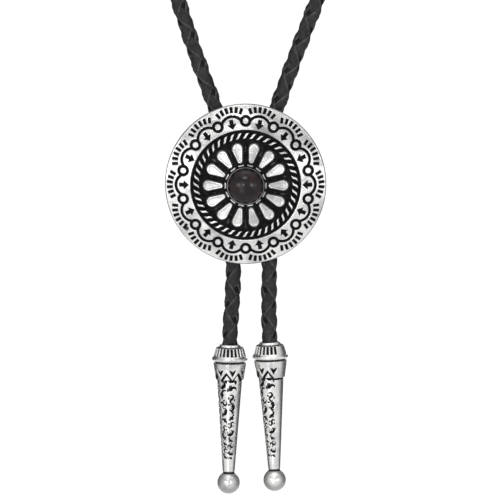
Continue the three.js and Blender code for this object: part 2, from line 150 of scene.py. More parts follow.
# Tips, from the mouth down
TIP_LENGTH = 40.4
SOCKET_RADIUS = 2.3
SOCKET_DEPTH = 8.0
MOUTH_RADIUS = 2.8
MOUTH_HEIGHT = 0.8
FLUTED_TOP_RADIUS = 3.7
COLLAR_RADIUS = 4.8
FLUTED_HEIGHT = 2.5
BAND_HEIGHT = 1.2
NECK_GROOVE = 0.5
CUP_TOP_RADIUS = 4.4
CUP_FOOT_RADIUS = 3.65
CUP_HEIGHT = 4.65
TAPER_TOP_RADIUS = 3.32
TAPER_FOOT_RADIUS = 1.6
TAPER_LENGTH = 24.3
TAPER_SLOPE = (TAPER_TOP_RADIUS - TAPER_FOOT_RADIUS) / TAPER_LENGTH
BALL_RADIUS = 3.0
# The ball's painted shade: it is darkened except for a painted highlight, a patch facing the front and a
# little up
BALL_PAINTED_SHADE = 0.46
BALL_HIGHLIGHT_LIFT = math.radians(12)
BALL_HIGHLIGHT_EDGE = (0.68, 0.98)  # cosines from the painted highlight's middle
BALL_SHADE_TOP = 2.4  # above its middle, where the painted shade stops
BALL_RING = 2.73  # the black ring's height above its middle
BAND_BULGE = 0.45
TIP_STEP = 0.125  # along the tip's outline from one row of points to the next
TIP_COLUMNS = 232
SOCKET_ROWS = 6  # at the outline's end, which stay plain and are painted black as shade
ORNAMENT_LEFT = math.radians(-125)
FLUTE_PITCH = math.radians(16)
FLUTE_WIDTH = 0.66
FLUTE_DEPTH = 0.5
FLUTE_BLACK = (0.05, -0.06)
CHEVRON_TURN = math.radians(12)
CHEVRON_PITCH = math.radians(51)
VEE_POINT = 1.5  # above the taper
VEE_FOOT = 0.8
VEE_TOP = 2.95
VEE_RISE = 0.35  # of its middle line over its point
VEE_HALF = 0.40  # half its width
VEE_FADE = (1.35, 0.1)  # from its ends to its point
VEE_RADIUS = 4.0  # where the chevrons' width is measured round the cup
VEE_STEEPNESS = 1.3
VEE_SLANT = 0.61  # the cosine of its slope
VEE_DEPTH = 0.28
ZIGZAG_HEIGHT = 2.1
ZIGZAG_WALL = (0.10, -0.10)
ZIGZAG_REACH = (-1.6, -1.0)  # heights where the cut under it runs out
CUP_LINE_HALF = 0.29  # the black line along the cup's foot
CUP_LINE_DROP = 0.12  # of its middle under the edge
CUP_LINE_SLANT = 0.66  # the cosine of the zigzag's slope
CUP_LINE_DEPTH = 0.12
CUP_LINE_WALL = (0.08, -0.08)
CUP_LINE_BLACK = (0.08, -0.06)
CUP_LINE_RUN = 1.2  # how far it runs on past the zigzag, as an angle
SCROLL_CELL = 0.86  # a cell's width, as an angle round the taper
SCROLL_COLUMNS = 4
SCROLL_TOP_RADIUS = TAPER_TOP_RADIUS + 2 * TAPER_SLOPE
SCROLL_FOOT_RADIUS = 1.82  # the taper's radius where the scrollwork ends
SCROLL_TWIST = 1.3
SCROLL_GROWTH = 0.16
SCROLL_DEPTH = 0.26
SCROLL_TOP = 0.3  # above the taper
SCROLL_DROP = 0.55  # and under the zigzag
CUT_WALL = (0.07, -0.10)
CUT_BLACK = (0.06, -0.05)
LEFT_ORNAMENT_ENDS = [math.radians(turn) for turn in (38, 64, 88)]  # scrolls, flutes and zigzag
RIGHT_ORNAMENT_ENDS = [math.radians(turn) for turn in (20, 30, 12)]

# Cord: four flat strands braided round, two turning each way
CORD_DIAMETER = 4.1
STRAND_WIDTH = 4.1
STRAND_THICKNESS = 1.15
STRAND_PATH_RADIUS = 1.42
STRAND_WEAVE = 0.32  # of a strand's path in and out
STRAND_WRAP_RADIUS = 1.85  # where a strand's width is measured round the cord
STRAND_THINNING = 0.35  # of a strand towards its edges
STRAND_TUCK = 0.12  # of its edges inwards
STRAND_POWERS = (0.85, 0.7)  # of the section's cosine and sine
STRAND_INNERMOST = 0.15
STRAND_SHADE = (0.5, 0.92)  # depths below the crests where the painted shade starts and is full
BRAID_REPEAT = 8.2  # along the cord, from one crossing to the next on the same side
CORE_RADIUS = 1.54
CORE_SIDES = 10
CORE_ROWS = 300
# Painted shade over the whole core between the strands
CORE_SHADE = 0.6
NECK_STEP = 0.56  # along the cord from one row of a strand's points to the next
NECK_SIDES = 16
NECK_PHASE = 0.6
TAIL_STEP = 0.3
TAIL_SIDES = 20
LEFT_TAIL_PHASE = 0.9
RIGHT_TAIL_PHASE = 2.2

# Places and the cord's route, the same as the model's
SLIDE_PLACE = np.array([0.0, -126.0, -292.0])
LEFT_MOUTH = np.array([-4.2, -126.0, -335.6])
RIGHT_MOUTH = np.array([6.45, -126.0, -334.9])
LEFT_LEAN = math.radians(0.6)
RIGHT_LEAN = math.radians(-2)
LEFT_FRONT_POINTS = [
    [-4.85, -126, -291.85], [-4.85, -126, -282.5], [-8.2, -126, -271.8], [-13.4, -126, -257.3],
    [-18.1, -126, -242.8], [-25, -126, -222], [-34.2, -125.7, -196], [-43.3, -125, -170],
    [-52, -123, -144], [-59.8, -118.7, -119],
]
RIGHT_FRONT_POINTS = [
    [4.85, -126, -291.85], [4.85, -126, -282.5], [8.4, -126, -271.8], [13.6, -126, -257.3],
    [19.1, -126, -242.8], [26.2, -126, -222], [35.2, -125.7, -196], [44, -125, -170],
    [52.4, -123, -144], [59.9, -118.7, -119],
]
NECK_POINTS = [  # on the left, and the right mirrors them
    [-65.8, -111, -95], [-69.6, -98.5, -73], [-70.8, -82, -53], [-69, -63.5, -35.5],
    [-64, -44.5, -21.5], [-54.5, -27, -11.5], [-40.5, -12.5, -4.8], [-21.5, -3.2, -1.2],
]
MIRRORED_NECK_POINTS = [[-x, y, z] for x, y, z in reversed(NECK_POINTS)]
LOOP_POINTS = LEFT_FRONT_POINTS + NECK_POINTS + [[0, 0, 0]] + MIRRORED_NECK_POINTS + RIGHT_FRONT_POINTS[::-1]
LEFT_TAIL_POINTS = [
    [-4.85, -126, -292.15], [-4.85, -126, -300], [-3.9, -126, -307], [-3.3, -126, -314],
    [-3.6, -126, -324],
]
RIGHT_TAIL_POINTS = [
    [4.85, -126, -292.15], [4.85, -126, -300], [5.8, -126, -307], [6.3, -126, -314],
    [6.2, -126, -324],
]

# Floor, in metres
FLOOR_WIDTH = 2.8
FLOOR_LEVEL = -1.0

DISC_PLACE = SLIDE_PLACE + [0, -(CORD_DIAMETER / 2 + CORD_BACK_GAP), 0]
DOME_TOP = DISC_EDGE + DOME_RISE
BAND_TOP = -MOUTH_HEIGHT - FLUTED_HEIGHT
BAND_FOOT = BAND_TOP - BAND_HEIGHT
CUP_TOP = BAND_FOOT - NECK_GROOVE
TAPER_TOP = CUP_TOP - CUP_HEIGHT
BALL_CENTRE = BALL_RADIUS - TIP_LENGTH


def smooth(low, high, x):
    """0 where x is at low, 1 at high, and an S-shaped step between them: three squares less two cubes."""
    t = np.clip((x - low) / (high - low), 0, 1)
    return t * t * (3 - 2 * t)


def mix(a, b, share):
    return a + (b - a) * share


def new_object(name, data):
    """An object with this data, linked to the scene."""
    thing = bpy.data.objects.new(name, data)
    bpy.context.scene.collection.objects.link(thing)
    return thing


# Camera

def add_camera():
    """Frames the photograph: its scale from the disc's width, its centre from the disc's place in it."""
    millimetres_per_pixel = 2 * DISC_RADIUS / DISC_PIXELS
    lift = math.radians(CAMERA_ELEVATION)
    aside = (PHOTO_SIZE / 2 - DISC_PIXEL_CENTRE[0]) * millimetres_per_pixel
    below = (PHOTO_SIZE / 2 - DISC_PIXEL_CENTRE[1]) * millimetres_per_pixel / math.cos(lift)
    target = DISC_PLACE + [aside, 0, -below]
    place = target + CAMERA_DISTANCE * np.array([0, -math.cos(lift), math.sin(lift)])

    data = bpy.data.cameras.new("camera")
    data.sensor_width = 36
    data.lens = data.sensor_width * CAMERA_DISTANCE / (PHOTO_SIZE * millimetres_per_pixel)
    data.clip_start = 0.01
    data.clip_end = 20
    camera = new_object("camera", data)
    camera.location = place * MM
    camera.rotation_euler = (math.pi / 2 - lift, 0, 0)
    bpy.context.scene.camera = camera


# Meshes

def turned(radius, height, columns):
    """A turned profile's points as three grids: their radius, turn and height."""
    level = np.zeros((len(radius), columns))
    return level + radius[:, None], level + np.arange(columns) * TURN / columns, level + height[:, None]


def tube_parts(grid):
    """A grid of (rows, columns, 3) points, closed round its columns and by a fan at each end: its points,
    four-sided faces and three-sided faces, turned to face outwards."""
    rows, columns = grid.shape[:2]
    ends = np.stack([grid[0].mean(axis=0), grid[-1].mean(axis=0)])
    points = np.concatenate([grid.reshape(-1, 3), ends])
    number = np.arange(rows * columns).reshape(rows, columns)
    aside = np.roll(number, -1, axis=1)
    quads = np.stack([number[:-1], aside[:-1], aside[1:], number[1:]], axis=-1).reshape(-1, 4)
    first = np.stack([aside[0], number[0], np.full(columns, rows * columns)], axis=-1)
    last = np.stack([number[-1], aside[-1], np.full(columns, rows * columns + 1)], axis=-1)
    fans = np.concatenate([first, last])
    middle = points.mean(axis=0)
    volume = 0.0
    for a, b, c in ((quads[:, 0], quads[:, 1], quads[:, 2]), (quads[:, 0], quads[:, 2], quads[:, 3]), fans.T):
        volume += np.einsum("ij,ij->", points[a] - middle, np.cross(points[b] - middle, points[c] - middle))
    if volume < 0:
        quads, fans = quads[:, ::-1], fans[:, ::-1]
    return points, quads, fans


def add_piece(name, grids, material, attributes, node):
    """One mesh of closed tubes that replaces a node. attributes maps a name to one array of (rows, columns)
    values for each grid, and the middle point of a tube's end takes the mean of its row."""
    points, quads, fans, start = [], [], [], 0
    for grid in grids:
        own_points, own_quads, own_fans = tube_parts(grid)
        points.append(own_points)
        quads.append(own_quads + start)
        fans.append(own_fans + start)
        start += len(own_points)
    points = np.concatenate(points) * MM
    quads = np.concatenate(quads)
    fans = np.concatenate(fans)

    mesh = bpy.data.meshes.new(name)
    mesh.vertices.add(len(points))
    mesh.vertices.foreach_set("co", points.ravel().astype(np.float32))
    mesh.loops.add(quads.size + fans.size)
    mesh.loops.foreach_set("vertex_index", np.concatenate([quads.ravel(), fans.ravel()]).astype(np.int32))
    mesh.polygons.add(len(quads) + len(fans))
    sides = np.concatenate([np.full(len(quads), 4), np.full(len(fans), 3)])
    mesh.polygons.foreach_set("loop_start", np.concatenate([[0], np.cumsum(sides)[:-1]]).astype(np.int32))
    mesh.update(calc_edges=True)
    mesh.shade_smooth()
    for key, values in attributes.items():
        flat = [np.concatenate([v.ravel(), [v[0].mean(), v[-1].mean()]]) for v in values]
        layer = mesh.attributes.new(key, "FLOAT", "POINT")
        layer.data.foreach_set("value", np.concatenate(flat).astype(np.float32))
    mesh.materials.append(material)

    piece = new_object(name, mesh)
    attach(piece, "root")
    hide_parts(node)
    return piece


# Shaders

class Socket:
    """A socket of a material's tree. Arithmetic on it adds Math nodes."""

    def __init__(self, tree, socket):
        self.tree = tree
        self.socket = socket

    def math(self, operation, *others):
        return self.tree.node("ShaderNodeMath", {"operation": operation}, self, *others)

    def __add__(self, other):
        return self.math("ADD", other)

    def __sub__(self, other):
        return self.math("SUBTRACT", other)

    def __rsub__(self, other):
        return self.tree.node("ShaderNodeMath", {"operation": "SUBTRACT"}, other, self)

    def __mul__(self, other):
        return self.math("MULTIPLY", other)

    __radd__ = __add__
    __rmul__ = __mul__

    def clamped(self):
        return self.tree.node("ShaderNodeClamp", {}, self)

    def step(self, low, high):
        """0 where the socket is at low, 1 at high, with an S-shaped step between."""
        settings = {"interpolation_type": "SMOOTHSTEP"}
        return self.tree.node("ShaderNodeMapRange", settings, self, low, high, 0.0, 1.0)


class Tree:
    """A material's nodes, or the world's."""

    def __init__(self, owner):
        owner.use_nodes = True
        self.tree = owner.node_tree
        self.tree.nodes.clear()

    def node(self, kind, settings, *values, output=0, **named):
        """Adds a node, makes its settings, then gives the sockets it shows values or links, in order or by
        name. A ramp's stops are (place, colour) pairs."""
        node = self.tree.nodes.new(kind)
        for key, value in settings.items():
            if key == "stops":
                elements = node.color_ramp.elements
                while len(elements) < len(value):
                    elements.new(0.5)
                for element, (place, colour) in zip(elements, value):
                    element.position = place
                    element.color = colour
            else:
                setattr(node, key, value)
        inputs = [socket for socket in node.inputs if socket.enabled]
        outputs = [socket for socket in node.outputs if socket.enabled]
        sockets = list(zip(inputs, values)) + [(node.inputs[key], value) for key, value in named.items()]
        for socket, value in sockets:
            if isinstance(value, Socket):
                self.tree.links.new(value.socket, socket)
            else:
                socket.default_value = value
        return Socket(self, outputs[output]) if outputs else None

    def ramp(self, factor, *stops):
        return self.node("ShaderNodeValToRGB", {"stops": stops}, factor)

    def attribute(self, name):
        return self.node("ShaderNodeAttribute", {"attribute_name": name}, output=2)

    def place(self):
        return self.node("ShaderNodeTexCoord", {}, output=3)

    def noise(self, vector, scale, detail=3.0, roughness=0.55):
        return self.node(
            "ShaderNodeTexNoise", {}, Vector=vector, Scale=scale, Detail=detail, Roughness=roughness,
        )

    def blend(self, factor, first, second):
        """A mix of two colours."""
        return self.node("ShaderNodeMix", {"data_type": "RGBA"}, factor, first, second)

    def stretched(self, vector, scale):
        return self.node("ShaderNodeMapping", {}, Vector=vector, Scale=scale)

    def bump(self, height, distance, strength):
        return self.node("ShaderNodeBump", {}, Height=height, Distance=distance, Strength=strength)


def grey(value):
    return (value, value, value, 1.0)


def finish_material(name, build):
    """A material whose surface is one Principled shader, set up by build(tree)."""
    material = bpy.data.materials.new(name)
    tree = Tree(material)
    shader = tree.node("ShaderNodeBsdfPrincipled", {}, **build(tree))
    tree.node("ShaderNodeOutputMaterial", {}, shader)
    return material


def antique_silver():
    """Silver-coloured cast metal: polished, with dull grey patches, hairline scratches and small pits. Where
    tarnish is 1 it is blackened, with a fine casting grain. It is real blackening in the cut lines and
    hollows, and painted shade on the balls, inside the tips' sockets and partly round the border's top."""
    def build(tree):
        place = tree.place()
        tarnish = tree.attribute("tarnish")
        haze = tree.noise(place, 130.0, 5.0, 0.65).step(0.47, 0.66)
        mottle = tree.noise(place, 900.0, 3.0, 0.6).step(0.35, 0.75)
        grain = tree.noise(place, 5200.0, 3.0, 0.7)
        scratches = tree.noise(tree.stretched(place, (900.0, 900.0, 9000.0)), 1.0, 2.0).step(0.56, 0.66)
        pits = tree.noise(place, 2600.0, 2.0).step(0.66, 0.74)
        black = (tarnish * (1.15 - mottle * 0.15) + pits * 0.12).clamped()
        dull = (haze * 0.75 + mottle * 0.25).clamped()
        clean = tree.blend(dull, (0.79, 0.79, 0.78, 1.0), (0.40, 0.40, 0.405, 1.0))
        ground = tree.blend(mottle * grain * 2.0, (0.002, 0.002, 0.0022, 1.0), (0.012, 0.012, 0.0125, 1.0))
        height = grain * (0.2 + black * 1.2) - scratches * 0.2 + mottle * 0.6
        return {
            "Base Color": tree.blend(black, clean, ground),
            "Metallic": 1.0 - black * 0.8,
            "Roughness": (0.20 + dull * 0.12 + scratches * 0.06 + black * black * 0.35).clamped(),
            "Specular IOR Level": 0.08,
            "Normal": tree.bump(height, 0.00004, 0.6),
        }
    return finish_material("antique_silver", build)


def plain_metal():
    """Satin metal of the hidden slide, with a soft brushed grain."""
    def build(tree):
        place = tree.place()
        grain = tree.noise(tree.stretched(place, (400.0, 400.0, 6000.0)), 1.0, 3.0)
        haze = tree.noise(place, 220.0, 3.0)
        return {
            "Base Color": tree.blend(haze, grey(0.42), grey(0.62)),
            "Metallic": 1.0,
            "Roughness": 0.34 + grain * 0.16,
            "Normal": tree.bump(grain, 0.00004, 0.4),
        }
    return finish_material("plain_metal", build)


def braided_leather():
    """Black leather laces: a fine grain and creases, with a painted highlight in pale bands near the edges,
    and painted shade where a lace runs under and along its outermost edges."""
    def build(tree):
        place = tree.place()
        edge = tree.attribute("edge")
        under = tree.attribute("under")
        grain = tree.node("ShaderNodeTexVoronoi", {}, Vector=place, Scale=4200.0)
        creases = tree.noise(place, 1500.0, 4.0, 0.65)
        mottle = tree.noise(place, 420.0, 3.0)
        # Painted highlight: pale bands near the lace edges, broken up by the creases
        painted_highlight = edge.step(0.50, 0.74) * (1.0 - edge.step(0.80, 0.90)) * creases.step(0.30, 0.60)
        # Painted shade where a lace runs under its neighbours and along its outermost edges
        shade = (under + edge.step(0.84, 0.97) * 0.8).clamped()
        face = tree.blend(mottle * creases * 2.0, (0.003, 0.003, 0.0033, 1.0), (0.042, 0.041, 0.042, 1.0))
        face_with_highlight = tree.blend(painted_highlight * 0.6, face, (0.10, 0.098, 0.10, 1.0))
        return {
            "Base Color": tree.blend(shade, face_with_highlight, grey(0.001)),
            "Roughness": (0.38 + creases * 0.2 + shade * 0.4).clamped(),
            "Specular IOR Level": 0.14,
            "Normal": tree.bump(creases * 0.7 + grain * 0.5, 0.00008, 0.6),
        }
    return finish_material("braided_leather", build)


def dark_stone():
    """A polished stone, almost black, with a dull red cast in cloudy patches."""
    def build(tree):
        place = tree.place()
        clouds = tree.noise(place, 420.0, 5.0, 0.6)
        veins = tree.noise(place, 1100.0, 4.0).step(0.5, 0.75)
        body = tree.ramp(
            clouds,
            (0.3, grey(0.001)),
            (0.55, (0.007, 0.0025, 0.003, 1.0)),
            (0.75, (0.034, 0.007, 0.010, 1.0)),
        )
        return {
            "Base Color": tree.blend(veins * 0.2, body, (0.05, 0.02, 0.022, 1.0)),
            "Roughness": 0.17 + veins * 0.06,
            "Specular IOR Level": 0.31,
        }
    return finish_material("dark_stone", build)


# Disc

def dome_height(radius):
    """The dome's surface in front of the rim's back: a paraboloid that rises from the rim to the middle."""
    return DISC_EDGE + DOME_RISE * (1 - (radius / DISC_RADIUS) ** 2)


def disc_points(radius, turn, height):
    """Points of the disc from a radius, a turn clockwise from the top and a height before the rim's back."""
    return DISC_PLACE + np.stack([radius * np.sin(turn), -height, radius * np.cos(turn)], axis=-1)


def repeat_plane(radius, turn, offset):
    """Flat coordinates (aside, outwards) from the disc's middle, folded so that each repeat's own line,
    at offset repeats from the top, is the upward axis."""
    folded = (turn / REPEAT_TURN - offset + 0.5) % 1 - 0.5
    return radius * np.sin(folded * REPEAT_TURN), radius * np.cos(folded * REPEAT_TURN)


def box_distance(x, y, half_width, low, high):
    """Signed distance to an upright box that is centred on x = 0 and runs from low to high."""
    dx = np.abs(x) - half_width
    dy = np.abs(y - (low + high) / 2) - (high - low) / 2
    return np.hypot(np.maximum(dx, 0), np.maximum(dy, 0)) + np.minimum(np.maximum(dx, dy), 0)


def arc_distance(x, y, radius, width, middle, half_sweep):
    """Signed distance to a line of some width along an arc round (0, 0), with round ends."""
    away = np.arctan2(y, x) - middle
    away = np.abs((away + math.pi) % TURN - math.pi)
    on_arc = np.abs(np.hypot(x, y) - radius)
    past = np.maximum(away - half_sweep, 0)
    to_end = np.hypot(np.hypot(x, y) - radius * np.cos(past), radius * np.sin(np.minimum(past, math.pi / 2)))
    return np.where(away <= half_sweep, on_arc, to_end) - width / 2


def border_distance(radius, turn):
    """Signed distance to the border's black lines: rings, scallops, arrows and hatch marks."""
    x, y = repeat_plane(radius, turn, 0)
    middle = (RING_OUTER + RING_INNER) / 2
    ring = np.abs(np.hypot(x, y - RING_PATH) - middle) - (RING_OUTER - RING_INNER) / 2

    x, y = repeat_plane(radius, turn, 0.5)
    join = RING_OUTER - LINE_WIDTH / 2
    end_x = RING_PATH * math.sin(REPEAT_TURN / 2) - join * math.cos(SCALLOP_JOIN)
    end_y = RING_PATH * math.cos(REPEAT_TURN / 2) + join * math.sin(SCALLOP_JOIN)
    drop = SCALLOP_CROWN - end_y
    bend = (end_x ** 2 + drop ** 2) / (2 * drop)
    scallop = arc_distance(
        x, y - SCALLOP_CROWN + bend, bend, LINE_WIDTH, math.pi / 2, math.asin(end_x / bend),
    )

    barb = ARROW_POINT + ARROW_HEAD_LENGTH
    shaft = box_distance(x, y, ARROW_SHAFT_WIDTH / 2, barb - ARROW_OVERLAP, ARROW_POINT + ARROW_LENGTH)
    slant = math.atan2(ARROW_HEAD_WIDTH / 2, ARROW_HEAD_LENGTH)
    flank = np.abs(x) * math.cos(slant) - (y - ARROW_POINT) * math.sin(slant)
    head = np.maximum(flank, y - barb)

    distance = np.minimum.reduce([ring, scallop, shaft, head])
    for mark in range(HATCH_MARKS):
        fan = HATCH_FAN_TURN * (mark / (HATCH_MARKS - 1) - 0.5)
        from_fan = y - HATCH_FOOT + HATCH_FAN_RADIUS
        across = x * math.cos(fan) - from_fan * math.sin(fan)
        along = x * math.sin(fan) + from_fan * math.cos(fan)
        bar = box_distance(across, along, HATCH_WIDTH / 2, HATCH_FAN_RADIUS, HATCH_FAN_RADIUS + HATCH_LENGTH)
        distance = np.minimum(distance, bar)
    return distance


def border_dulling_and_shade(radius, turn):
    """How far the border's clean metal is dulled. Cloudy patches lie round the top and at the lower left,
    where the cosine of the turn from each nears 1, and a dark spot runs over some of the hatch marks. The
    patches round the top are partly painted shade, which tones down the top softbox's reflection there."""
    # Partly painted shade: the top patches darken the border where the top softbox reflects
    top = smooth(0.3, 0.95, np.cos(turn - TOP_DULLING_AND_SHADE_TURN))
    lower_left = smooth(0.8, 1.0, np.cos(turn - DULL_LEFT_TURN))
    clouds = 0.6 + 0.4 * np.sin(6 * turn + 1.6 * radius)
    spot_x = radius * np.sin(turn) - SPOT_PATH * math.sin(SPOT_TURN)
    spot_y = radius * np.cos(turn) - SPOT_PATH * math.cos(SPOT_TURN)
    spot = smooth(*SPOT_EDGE, np.hypot(spot_x, spot_y))
    return np.maximum((TOP_DULLING_AND_SHADE * top + DULL_LEFT * lower_left) * clouds, DULL_SPOT * spot)


def add_border(silver):
    """The disc's body: the border with its lines, the rim, the hollow back and, under the field, a plain
    floor. It is a profile from the front's middle round the rim to the back's middle, turned about the
    disc's axis."""
    columns = 80 * REPEATS
    under_field = [
        (PROFILE_END, BODY_FLOOR),
        (BORDER_INNER - 0.3, BODY_FLOOR),
        (BORDER_INNER - 0.25, BODY_FLOOR + 0.05),
        (BORDER_INNER - 0.12, dome_height(BORDER_INNER) - 0.35),
    ]
    round_start = DISC_RADIUS - EDGE_ROUND
    front = [(radius, dome_height(radius)) for radius in np.linspace(BORDER_INNER, round_start, 65)]
    low = dome_height(round_start) - EDGE_ROUND
    edge = [(round_start + EDGE_ROUND * math.sin(slant), low + EDGE_ROUND * math.cos(slant))
            for slant in np.radians(np.linspace(15, 90, 5))]
    rim = [
        (DISC_RADIUS, 0.3),
        (DISC_RADIUS - 0.1, 0.08),
        (DISC_RADIUS - 0.3, 0.0),
        (DISC_RADIUS - BACK_RIM_WIDTH, 0.0),
    ]
    hollow = [
        (DISC_RADIUS - BACK_RIM_WIDTH - 0.15, 0.04),
        (BACK_FLOOR_RADIUS + 0.2, BACK_HOLLOW_DEPTH - 0.05),
        (BACK_FLOOR_RADIUS - 0.2, BACK_HOLLOW_DEPTH),
        (BACK_FLOOR_RADIUS / 2, BACK_HOLLOW_DEPTH),
        (PROFILE_END, BACK_HOLLOW_DEPTH),
    ]
    radius, height = np.array(under_field + front + edge + rim + hollow).T
    radius, turn, height = turned(radius, height, columns)
    tarnish = np.zeros_like(radius)
    rows = slice(len(under_field), len(under_field) + len(front))
    distance = border_distance(radius[rows], turn[rows])
    inner_edge = smooth(BORDER_INNER + 0.16, BORDER_INNER + 0.02, radius[rows])
    height[rows] -= LINE_DEPTH * smooth(*LINE_WALL, distance) + 0.12 * inner_edge
    tarnish[:rows.start] = 1.0
    tarnish[rows] = np.maximum(smooth(*LINE_BLACK, distance), border_dulling_and_shade(radius[rows], turn[rows]))
    tarnish[rows.stop + 1:rows.stop + len(edge) + len(rim)] = DULL_RIM
    points = disc_points(radius, turn, height)
    return add_piece("disc_border", [points], silver, {"tarnish": [tarnish]}, "concho")


def petal_distance(x, y):
    """Signed distance to a petal: a small circle near the stone, a large one outside, and their tangents."""
    small = PETAL_INNER_WIDTH / 2
    large = PETAL_OUTER_WIDTH / 2
    inner = PETAL_INNER + small
    length = PETAL_OUTER - large - inner
    narrowing = (small - large) / length
    straight = math.sqrt(1 - narrowing ** 2)
    x, y = np.abs(x), y - inner
    along = -narrowing * x + straight * y
    flank = straight * x + narrowing * y - small
    near = np.where(along < 0, np.hypot(x, y) - small, flank)
    return np.where(along > straight * length, np.hypot(x, y - length) - large, near)


def rope_distance(radius, turn):
    """Distance from the nearest rope strand's middle line, and how far inside the rope's two edges the point
    is. A strand is S-shaped: across the rope it turns by half its share plus twice the share's cube."""
    middle = (ROPE_INNER + ROPE_OUTER) / 2
    width = ROPE_OUTER - ROPE_INNER
    across = (radius - middle) / width
    strand = (turn - (0.5 * across + 2 * across ** 3) * ROPE_LAY) * ROPE_STRANDS / TURN
    aside = (strand + 0.5) % 1 - 0.5
    slant = np.arctan(middle * ROPE_LAY * (0.5 + 6 * across ** 2) / width)
    return np.abs(aside) * TURN * middle / ROPE_STRANDS * np.cos(slant), width / 2 - np.abs(radius - middle)


def add_field(silver):
    """The sunk field inside the border: the petals, the rope, the bezel and the blackened ground, as heights
    on the dome over a turned profile."""
    columns = 72 * REPEATS
    seat = DOME_TOP - BEZEL_DEPTH
    outer = BORDER_INNER - 0.02
    shown = np.linspace(BEZEL_INNER, outer, 91)
    profile_radius = np.concatenate([[PROFILE_END, BEZEL_INNER - 0.04], shown, [outer, PROFILE_END]])
    base = np.concatenate([[seat, seat], dome_height(shown) - GROUND_DEPTH, [FIELD_FOOT, FIELD_FOOT]])
    radius, turn, height = turned(profile_radius, base, columns)
    tarnish = np.ones_like(radius)

    rows = slice(2, 2 + len(shown))
    r, t = radius[rows], turn[rows]
    x, y = repeat_plane(r, t, 0.5)
    petal = petal_distance(x, y)
    lift = GROUND_DEPTH + PETAL_PROUD
    petal_height = lift * smooth(*PETAL_WALL, petal) - PETAL_DISH * smooth(*PETAL_DISH_WALL, petal)
    petal_black = 1 - smooth(*PETAL_BLACK, petal) * (1 - PETAL_DULLNESS * smooth(-0.2, -0.7, petal))

    rope_aside, rope_inside = rope_distance(r, t)
    bulge = np.sqrt(np.clip(1 - (rope_aside / ROPE_BULGE) ** 2, 0, 1)) * smooth(-0.12, 0.22, rope_inside)
    crest = ROPE_BRIGHT - 0.12 * smooth(0.45, 0.0, rope_inside)
    rope_black = 1 - smooth(crest + 0.05, crest - 0.09, rope_aside) * smooth(-0.04, 0.10, rope_inside)

    ridge_x, ridge_y = repeat_plane(r, t, 0.0)
    ridge = smooth(*RIDGE_SIDE, np.abs(ridge_x)) * smooth(*RIDGE_START, ridge_y) * smooth(*RIDGE_END, ridge_y)

    wall = smooth(BEZEL_OUTER - 0.42, BEZEL_INNER + 0.20, r)
    bezel_height = (GROUND_DEPTH + BEZEL_PROUD) * wall
    bead = box_distance(x, y, BEAD_LENGTH / 2, BEAD_PATH - BEAD_WIDTH / 2, BEAD_PATH + BEAD_WIDTH / 2)
    bezel_height = np.maximum(bezel_height, BEAD_HEIGHT * smooth(*BEAD_WALL, bead))
    lip = smooth(BEZEL_INNER + 0.22, BEZEL_INNER + 0.10, r) * smooth(BEZEL_INNER, BEZEL_INNER + 0.06, r)
    bezel_black = 1 - np.maximum(LIP_BRIGHT * lip, smooth(*BEAD_BLACK, bead))

    height[rows] += np.maximum.reduce([
        petal_height, (GROUND_DEPTH + ROPE_PROUD) * bulge, RIDGE_HEIGHT * ridge, bezel_height,
    ])
    tarnish[rows] = np.minimum.reduce([petal_black, rope_black, 1 - RIDGE_BRIGHT * ridge, bezel_black])
    points = disc_points(radius, turn, height)
    return add_piece("disc_field", [points], silver, {"tarnish": [tarnish]}, "concho")


def add_stone(material):
    """The cabochon, turned about the disc's axis: a straight girdle under a dome whose section is a quarter
    of an ellipse."""
    seat = DOME_TOP - BEZEL_DEPTH + SEAT_GAP
    crown = STONE_HEIGHT - STONE_GIRDLE
    angles = np.linspace(0, math.pi / 2 - 0.03, 40)
    radius = np.concatenate([[0.3, STONE_RADIUS - 0.2, STONE_RADIUS], STONE_RADIUS * np.cos(angles)])
    height = np.concatenate([[seat, seat, seat + 0.2], seat + STONE_GIRDLE + crown * np.sin(angles)])
    points = disc_points(*turned(radius, height, STONE_COLUMNS))
    return add_piece("stone", [points], material, {}, "cabochon")


def add_slide(material):
    """The slide's own solid with its edges rounded over."""
    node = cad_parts["slide_clasp"]
    mesh = node.data.copy()
    mesh.materials.clear()
    mesh.materials.append(material)
    work = bmesh.new()
    work.from_mesh(mesh)
    bmesh.ops.remove_doubles(work, verts=work.verts, dist=0.00001)
    bmesh.ops.dissolve_limit(work, angle_limit=math.radians(2), verts=work.verts, edges=work.edges)
    work.to_mesh(mesh)
    work.free()
    piece = new_object("back_slide", mesh)
    bevel = piece.modifiers.new("rounded_edges", "BEVEL")
    bevel.width = SLIDE_EDGE_ROUND * MM
    bevel.segments = 3
    bevel.limit_method = "ANGLE"
    bevel.angle_limit = math.radians(50)
    mesh.shade_smooth()
    mesh.set_sharp_from_angle(angle=math.radians(40))
    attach(piece, "root")
    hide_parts("slide_clasp")
    return piece


# Tips

